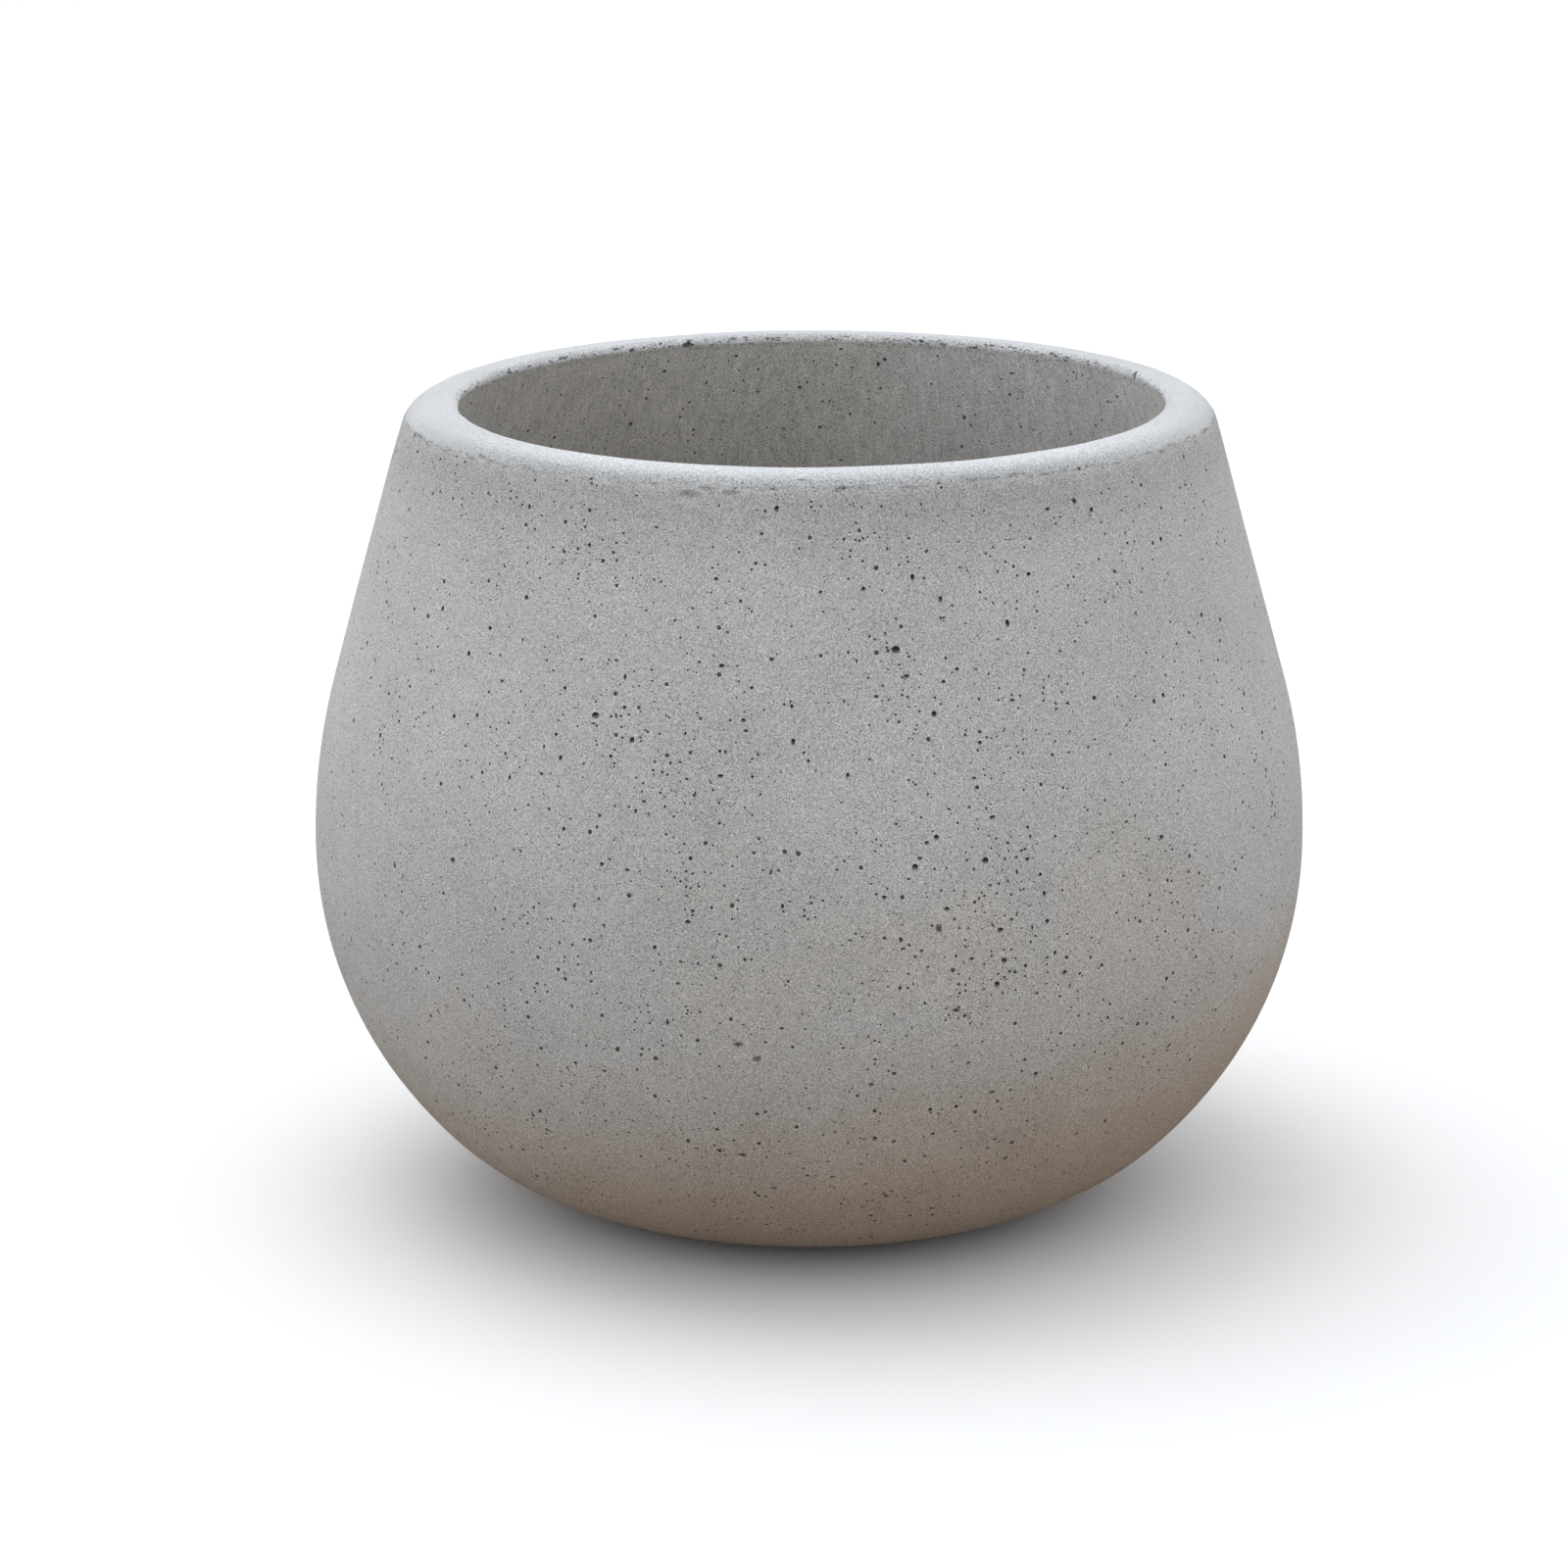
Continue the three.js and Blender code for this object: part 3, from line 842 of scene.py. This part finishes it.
def new_group(recipe, **inputs):
    """A node group named after its recipe, a function that turns the group's inputs into named outputs.

    An input given as None is a vector. Any other is a number, with that value to start from."""
    group = bpy.data.node_groups.new(recipe.__name__.replace("_", " "), "ShaderNodeTree")
    for name, value in inputs.items():
        kind = "NodeSocketVector" if value is None else "NodeSocketFloat"
        made = group.interface.new_socket(name.title(), in_out="INPUT", socket_type=kind)
        if value is not None:
            made.default_value = value
    given = group.nodes.new("NodeGroupInput").outputs[:len(inputs)]
    results = recipe(*[Value(socket) for socket in given])
    for name in results:
        group.interface.new_socket(name, in_out="OUTPUT", socket_type="NodeSocketFloat")
    for socket, value in zip(group.nodes.new("NodeGroupOutput").inputs, results.values()):
        put(socket, value)
    return group


def use_group(group, **inputs):
    """Places a group among its inputs, which are named by keyword, and gives its outputs."""
    named = {name.title(): value for name, value in inputs.items()}
    return add_node(tree_of(*inputs.values()), "Group", named, node_tree=group)


# %% Groups: sand grain, clouds and streaks
def sand_grain(place, size):
    """Curly grain: distorted noise at the sand's size. Its hollows, taken alone, are dark specks, and its
    peaks are pale grains."""
    curly = noise(place, size, detail=0.5, roughness=0.6, distortion=1.0)
    return {"Tone": curly, "Speck": ramp(curly, -0.14, -0.38), "Pale": ramp(curly, 0.20, 0.45)}


def cast_clouds(place, size):
    """Large soft patches of tone, and where the paste is warmer."""
    large = noise(place, size, detail=3.0, roughness=0.55, distortion=0.4)
    small = noise(place, size * 0.22)
    elsewhere = vector("ADD", place, (1.3, 0.7, 2.1))[0]
    return {"Tone": small * 0.45 + large, "Warmth": ramp(noise(elsewhere, size * 1.4), -0.25, 0.35)}


def streaks(place, width):
    """Upright streaks: noise that is stretched eightfold in height."""
    return {"Tone": noise(place, width, stretch=(1, 1, 0.12), detail=3.0, roughness=0.6)}


# %% Groups: pinholes, places on the rim and dust
def pinholes(place, spacing, radius, share):
    """Round pinholes: balls round random points, cut by the surface, for a share of the points.

    The mask is 1 inside a ball and 0 outside it, and the material paints it dark as shade; the height is
    minus the depth of its cap; the lip is a somewhat larger mask, moved down, less the first one, where the
    material paints the lower rim as lit."""

    def holes(place, larger):
        """Mask and radius of the balls that are cut at a place, their mask made larger by a factor."""
        scaled = vector("SCALE", place, scale=1.0 / spacing)[0]
        cells = add_node(tree_of(place), "TexVoronoi", {"Vector": scaled, "Scale": 1.0})
        chance = add_node(tree_of(place), "SeparateColor", {0: cells["Color"]})
        ball_radius = radius * (chance[0] + 0.5)
        to_edge = cells["Distance"] * spacing / ball_radius
        kept = calculate("LESS_THAN", chance[1], share)
        return ramp(to_edge, 0.85 * larger, 1.08 * larger, 1.0, 0.0) * kept, ball_radius

    drop = add_node(tree_of(place), "CombineXYZ", {2: radius * 0.4})[0]
    mask, ball_radius = holes(place, 1.0)
    below = holes(vector("ADD", place, drop)[0], 1.35)[0]
    lip = calculate("SUBTRACT", below, mask, clamp=True)
    return {"Mask": mask, "Height": mask * ball_radius * -1.1, "Lit Lip": lip}


def rim_place(place):
    """How many metres below the rim's own crest a place lies, and how far in front: 1 in front, -1 behind.

    The crest's height is the fall's half turn cosine, written with the place's x and y over its radius."""
    way = vector("NORMALIZE", vector("MULTIPLY", place, (1, 1, 0))[0])[0]
    toward = vector("DOT_PRODUCT", way, (math.cos(RIM_HIGH_SIDE), math.sin(RIM_HIGH_SIDE), 0))[1]
    crest = toward * (RIM_FALL / 2) + (RIM_Z - RIM_FALL / 2)
    return {"Below": crest - part(place, "Z"), "Front": vector("DOT_PRODUCT", way, (0, -1, 0))[1]}


def dust(place, amount, size):
    """Pale dust that settles in patches, most of it on faces that look up."""
    facing_up = part(add_node(tree_of(place), "NewGeometry")["Normal"], "Z")
    patches = ramp(noise(place, size, detail=4.0, roughness=0.7), -0.35, 0.45)
    return {"Mask": patches * ramp(facing_up, -0.4, 0.9, 0.25, 1.0) * amount}


SAND_GRAIN = new_group(sand_grain, place=None, size=0.0010)
CAST_CLOUDS = new_group(cast_clouds, place=None, size=0.09)
STREAKS = new_group(streaks, place=None, width=0.004)
PINHOLES = new_group(pinholes, place=None, spacing=0.004, radius=0.0004, share=0.7)
RIM_PLACE = new_group(rim_place, place=None)
DUST = new_group(dust, place=None, amount=0.5, size=0.006)
print("groups:", ", ".join(group.name for group in bpy.data.node_groups))


# %% Helpers for materials
def new_material(name):
    """An empty node material: the material, its tree, its main shader and its object coordinates."""
    material = bpy.data.materials.new(name)
    material.use_nodes = True
    tree = material.node_tree
    return material, tree, tree.nodes["Principled BSDF"], add_node(tree, "TexCoord")["Object"]


def toned(colour, *tones):
    """A colour made lighter or darker by tones around 0, each with its strength: colour x (1 + sum)."""
    total = sum((tone * strength for tone, strength in tones), 1.0)
    grey = add_node(tree_of(total), "CombineColor", {0: total, 1: total, 2: total})[0]
    return blend(1.0, colour, grey, how="MULTIPLY")


def roughened(shader, height):
    """Turns a height in metres into bumps on the shader's normal."""
    inputs = {"Strength": 1.0, "Distance": 1.0, "Height": height}
    put(shader.inputs["Normal"], add_node(tree_of(height), "Bump", inputs)[0])


# %% [markdown]
# ## The concrete
#
# The paste is a cool grey. On top of it come, from the large to the small: clouds that are warmer to the
# right, painted shade and warm ground light round the foot, deeper on the right, a darker band of water marks
# under the rim, the pale skin of the rim with the broken places along its edges, painted dark as shade,
# painted light at the crest of the rim's front and painted shade towards its border, the grain, and the
# pinholes and carved holes, painted dark as shade with painted light on their lower lips. Inside, the mould
# was pulled out upwards, which leaves faint upright streaks, and the inside is painted darker and browner as
# shade, lighter on the right where light from the left falls. Bumps follow the same grain, so that light and
# colour agree.

# %% Concrete
PASTE = (0.600, 0.616, 0.632, 1)
WARM_PASTE = (0.596, 0.592, 0.586, 1)
WATER_MARK = (0.490, 0.490, 0.488, 1)
RIM_SKIN = (0.600, 0.612, 0.628, 1)
EDGE_SKIN = (0.740, 0.745, 0.755, 1)
# the next two are painted shade for the inside's left and painted light for its right
INSIDE_SHADE = (0.452, 0.430, 0.397, 1)
INSIDE_LIT = (0.585, 0.575, 0.560, 1)
# painted shade and warm ground light round the foot
FOOT_SHADE = (0.515, 0.436, 0.372, 1)
# painted shade, for the holes, the broken places and the crease at the rim's border
HOLE_SHADE = (0.085, 0.081, 0.077, 1)
GRAIN_SIZE = 0.00062
GRAIN_DEPTH = 0.00012
BORDER = 0.0052               # how far below the crest the pale skin ends in front


def make_concrete():
    """The cast concrete, from the large to the small."""
    material, tree, shader, place = new_material("cast concrete")
    hole, inner = [add_node(tree, "Attribute", attribute_name=name)[2] for name in ("hole", "inside")]
    on_rim = use_group(RIM_PLACE, place=place)
    below, front = on_rim["Below"], on_rim["Front"]
    grain = use_group(SAND_GRAIN, place=place, size=GRAIN_SIZE)
    clouds = use_group(CAST_CLOUDS, place=place, size=0.085)
    streak = use_group(STREAKS, place=place, width=0.0035)["Tone"]
    blotches = noise(place, 0.008, stretch=(1, 1, 2.2), detail=4.0, roughness=0.7)
    crumbs = noise(place, 0.0016, stretch=(0.8, 0.8, 1.6), roughness=0.7)
    scratch = noise(place, 0.0045, stretch=(0.5, 0.5, 2.4), detail=3.0, roughness=0.7)
    inward = ramp(inner, 0.02, 0.12)
    outward = 1.0 - inward

    # paste, painted shade and warm ground light round the foot, reaching higher on the right, and the band of
    # water marks under the rim
    warmth = clouds["Warmth"] * ramp(part(place, "X"), -0.22, 0.20, 0.50, 1.35)
    colour = blend(warmth, PASTE, WARM_PASTE)
    foot = ramp(part(place, "Z") + clouds["Tone"] * 0.02 + part(place, "X") * -0.18, 0.16, 0.01)
    colour = blend(foot, colour, FOOT_SHADE)
    band = ramp(below, 0.050, 0.008) * ramp(blotches, -0.4, 0.3, 0.4, 0.9)
    colour = blend(band, colour, WATER_MARK)

    # inside: painted shade, darker and browner, and lighter to the right as painted light where light from
    # the left falls
    inside_shade_and_light = blend(ramp(part(place, "X"), -0.17, 0.17), INSIDE_SHADE, INSIDE_LIT)
    colour = blend(inward, colour, inside_shade_and_light)

    # pale skin of the rim: outside down to a ragged border, inside over the crumbling edge
    to_border = below + blotches * 0.0030 - (front * -0.0022 + (BORDER + 0.0022))
    pale_outside = ramp(to_border, 0.0006, -0.0006) * outward
    pale = ramp(below + crumbs * 0.0020, 0.0048, 0.0034) * inward + pale_outside
    colour = blend(pale, colour, RIM_SKIN)
    colour = blend(inward * pale * ramp(below, 0.0, 0.0012), colour, EDGE_SKIN)

    # broken places: crumbs along the inner edge, and scratches and a crease at the border, all painted dark
    # as shade
    broken = calculate("ADD", front * -1.5, 1.25, clamp=True)
    crumbling = inward * ramp(below, 0.0090, 0.0050) * broken
    at_border = ramp(to_border, -0.0012, 0.0) * ramp(to_border, 0.0028, 0.0010) * outward
    crease = ramp(to_border, -0.0003, 0.0003) * ramp(to_border, 0.0014, 0.0006) * outward
    crease = crease * ramp(scratch, -0.30, 0.20, 0.02, 0.22)
    gone = ramp(scratch, 0.06, 0.30) * at_border * 0.55 + ramp(crumbs, 0.12, 0.30) * crumbling * 0.62
    colour = blend(calculate("MAXIMUM", gone, crease), colour, HOLE_SHADE)

    # grain, clouds and streaks; on the rim's front the skin is rougher, with painted light at its crest and
    # painted shade towards its border
    front_skin = pale_outside * ramp(front, 0.2, 0.9)
    smoother = 1.0 - (pale - front_skin) * 0.55
    colour = toned(
        colour,
        (grain["Tone"], smoother * 0.66),
        (grain["Speck"], smoother * -0.24),
        (grain["Pale"], smoother * 0.14),
        (crumbs, crumbling + front_skin * 0.10),
        # painted light at the crest of the rim's front and painted shade towards its border
        (ramp(below, 0.0, 0.0045, 0.12, -0.14), front_skin),
        (clouds["Tone"], 0.10),
        (streak, inner * 0.30))

    # pinholes, crowded round the clusters' middles and rare on the rim, painted dark as shade, each with
    # painted light on its lower lip
    share = ramp(noise(place, 0.05, detail=1.0), -0.4, 0.5, 0.10, 0.60) * (1.0 - inner * 0.5)
    for middle, reach in zip(cluster_places, cluster_reach):
        crowd = ramp(vector("DISTANCE", place, middle)[1], reach, 0.2 * reach, 0.0, 0.85)
        share = calculate("MAXIMUM", share, crowd)
    fine = use_group(PINHOLES, place=place, spacing=0.0030, radius=0.00050, share=share)
    wide = use_group(PINHOLES, place=place, spacing=0.0060, radius=0.00078, share=share)
    not_rim = 1.0 - pale * 0.85
    pinned = calculate("MAXIMUM", fine["Mask"], wide["Mask"]) * not_rim
    painted_pinhole_lip_light = calculate("MAXIMUM", fine["Lit Lip"], wide["Lit Lip"]) * not_rim

    # the holes that are carved: painted shade in them, weaker where a side looks up, and painted light on the
    # lower lip that looks up
    facing_up = part(add_node(tree, "NewGeometry")["Normal"], "Z")
    painted_hole_lip_light = ramp(hole, 0.01, 0.06) * ramp(hole, 0.30, 0.16) * ramp(facing_up, 0.3, 0.7)
    painted_hole_lip_light = painted_hole_lip_light * ramp(below, 0.014, 0.020)
    colour = toned(colour, (painted_pinhole_lip_light, 0.16), (painted_hole_lip_light, 0.30))
    shaded = ramp(facing_up, 0.05, 0.70, 1.0, 0.32) * (1.0 - pale * 0.35)
    dark = calculate("MAXIMUM", pinned, ramp(hole, 0.12, 0.42) * shaded) * 0.95
    put(shader.inputs["Base Color"], blend(dark, colour, HOLE_SHADE))

    height = grain["Tone"] * GRAIN_DEPTH + (fine["Height"] + wide["Height"]) * not_rim
    roughened(shader, height + gone * -0.0004 + crumbs * front_skin * 0.0002)
    put(shader.inputs["Roughness"], ramp(clouds["Tone"], -1.0, 1.0, 0.82, 0.96))
    shader.inputs["Diffuse Roughness"].default_value = 0.8
    shader.inputs["Specular IOR Level"].default_value = 0.15
    return material


# %% Rubber
RUBBER = (0.028, 0.028, 0.029, 1)
CEMENT_DUST = (0.36, 0.35, 0.33, 1)


def make_rubber(name, dust_amount):
    """Black moulded rubber with fine grain, and pale dust from the concrete."""
    material, _, shader, place = new_material(name)
    grain = use_group(SAND_GRAIN, place=place, size=0.0005)["Tone"]
    dusty = use_group(DUST, place=place, amount=dust_amount, size=0.005)["Mask"]
    put(shader.inputs["Base Color"], blend(dusty, toned(RUBBER, (grain, 0.35)), CEMENT_DUST))
    put(shader.inputs["Roughness"], ramp(dusty, 0.0, 0.5, 0.55, 0.9))
    roughened(shader, grain * 0.00003)
    return material


def dress(piece, material):
    """Gives a piece one material."""
    piece.data.materials.clear()
    piece.data.materials.append(material)


dress(bowl, make_concrete())
dress(stopper, make_rubber("stopper rubber", 0.30))
pad_rubber = make_rubber("pad rubber", 0.18)
for pad, _ in pads:
    dress(pad, pad_rubber)
print("materials:", ", ".join(material.name for material in bpy.data.materials))

# %% [markdown]
# ## Floor and light
#
# The bowl stands in the open under an overcast sky, brighter overhead than near the horizon, and a little
# brighter behind than in front and on the left than on the right. One large soft panel above its left side
# adds to the rim, and the ground sends a little warm light up under the belly. The floor that the camera sees
# is nearly white, and it keeps the shadow. Seen from below, the floor is open, and a patch of it under the
# base lets a dim light through, so that the base and its pads can be looked at.

# %% Sky
SKY_HORIZON = (1.03, 1.05, 1.07, 1)
SKY_ZENITH = (1.12, 1.15, 1.19, 1)
SKY_BACK = 0.10               # how much brighter the sky is behind the bowl, and darker in front of it
SKY_LEFT = 0.04               # the same from left to right
UNDER_GLOW = (0.30, 0.26, 0.22, 1)      # what comes from below, where no ground is in the way
WHITE = (1, 1, 1, 1)

scene = bpy.context.scene
scene.view_settings.view_transform = "Standard"
sky = bpy.data.worlds.new("sky")
sky.use_nodes = True
scene.world = sky


def seen_directly(tree):
    """1 for rays from the camera, and for mirrored and glass rays, 0 for all others."""
    path = add_node(tree, "LightPath")
    mirrored = calculate("MAXIMUM", path["Is Glossy Ray"], path["Is Transmission Ray"])
    return calculate("MAXIMUM", path["Is Camera Ray"], mirrored)


tree = sky.node_tree
direction = add_node(tree, "TexCoord")["Generated"]
upward = part(direction, "Z")
sky_colour = blend(ramp(upward, 0.0, 1.0), SKY_HORIZON, SKY_ZENITH)
sky_colour = toned(sky_colour, (part(direction, "Y"), SKY_BACK), (part(direction, "X"), -SKY_LEFT))
sky_colour = blend(ramp(upward, -0.02, -0.10), sky_colour, UNDER_GLOW)
put(tree.nodes["Background"].inputs["Color"], blend(seen_directly(tree), sky_colour, WHITE))

# %% Floor
FLOOR_HALF = 30.0
FLOOR_SEEN = (0.90, 0.90, 0.90, 1)
FLOOR_BOUNCE = (0.16, 0.095, 0.035, 1)
UNDER_RADIUS = 0.116          # of the patch under the base that lets light through from below
UNDER_FADE = 0.034            # over which the patch fades out towards its edge

corners = FLOOR_HALF * np.array([(-1, -1, 0), (1, -1, 0), (1, 1, 0), (-1, 1, 0)])
floor = surface("floor", corners, np.array([(0, 1, 2, 3)]))
floor_material, tree, shader, place = new_material("pale floor")
put(shader.inputs["Base Color"], blend(seen_directly(tree), FLOOR_BOUNCE, FLOOR_SEEN))
shader.inputs["Roughness"].default_value = 1.0
shader.inputs["Specular IOR Level"].default_value = 0.0
from_below = add_node(tree, "NewGeometry")["Backfacing"]
patch = ramp(vector("LENGTH", place)[1], UNDER_RADIUS, UNDER_RADIUS - UNDER_FADE)
open_below = add_node(tree, "MixShader", {
    0: calculate("MAXIMUM", from_below, patch - seen_directly(tree)),
    1: Value(shader.outputs[0]),
    2: add_node(tree, "BsdfTransparent")[0]})[0]
put(tree.nodes["Material Output"].inputs["Surface"], open_below)
dress(floor, floor_material)

# %% Panel
PANEL_PLACE = (-1.0, 0.6, 3.3)
PANEL_SIZE = 2.6
PANEL_WATTS = 30


def aim(lamp, target):
    """Turns a lamp so that its light, which leaves along its own -Z, goes to the target."""
    away = np.array(lamp.location) - np.array(target)
    flat = math.hypot(away[0], away[1])
    lamp.rotation_euler = (math.atan2(flat, away[2]), 0, math.atan2(away[0], -away[1]))


panel = bpy.data.objects.new("soft panel", bpy.data.lights.new("soft panel", "AREA"))
bpy.context.collection.objects.link(panel)
panel.location = PANEL_PLACE
panel.data.shape = "SQUARE"
panel.data.size = PANEL_SIZE
panel.data.energy = PANEL_WATTS
aim(panel, (0, 0, 0.2))
print(f"panel of {PANEL_SIZE} m, {PANEL_WATTS} W")
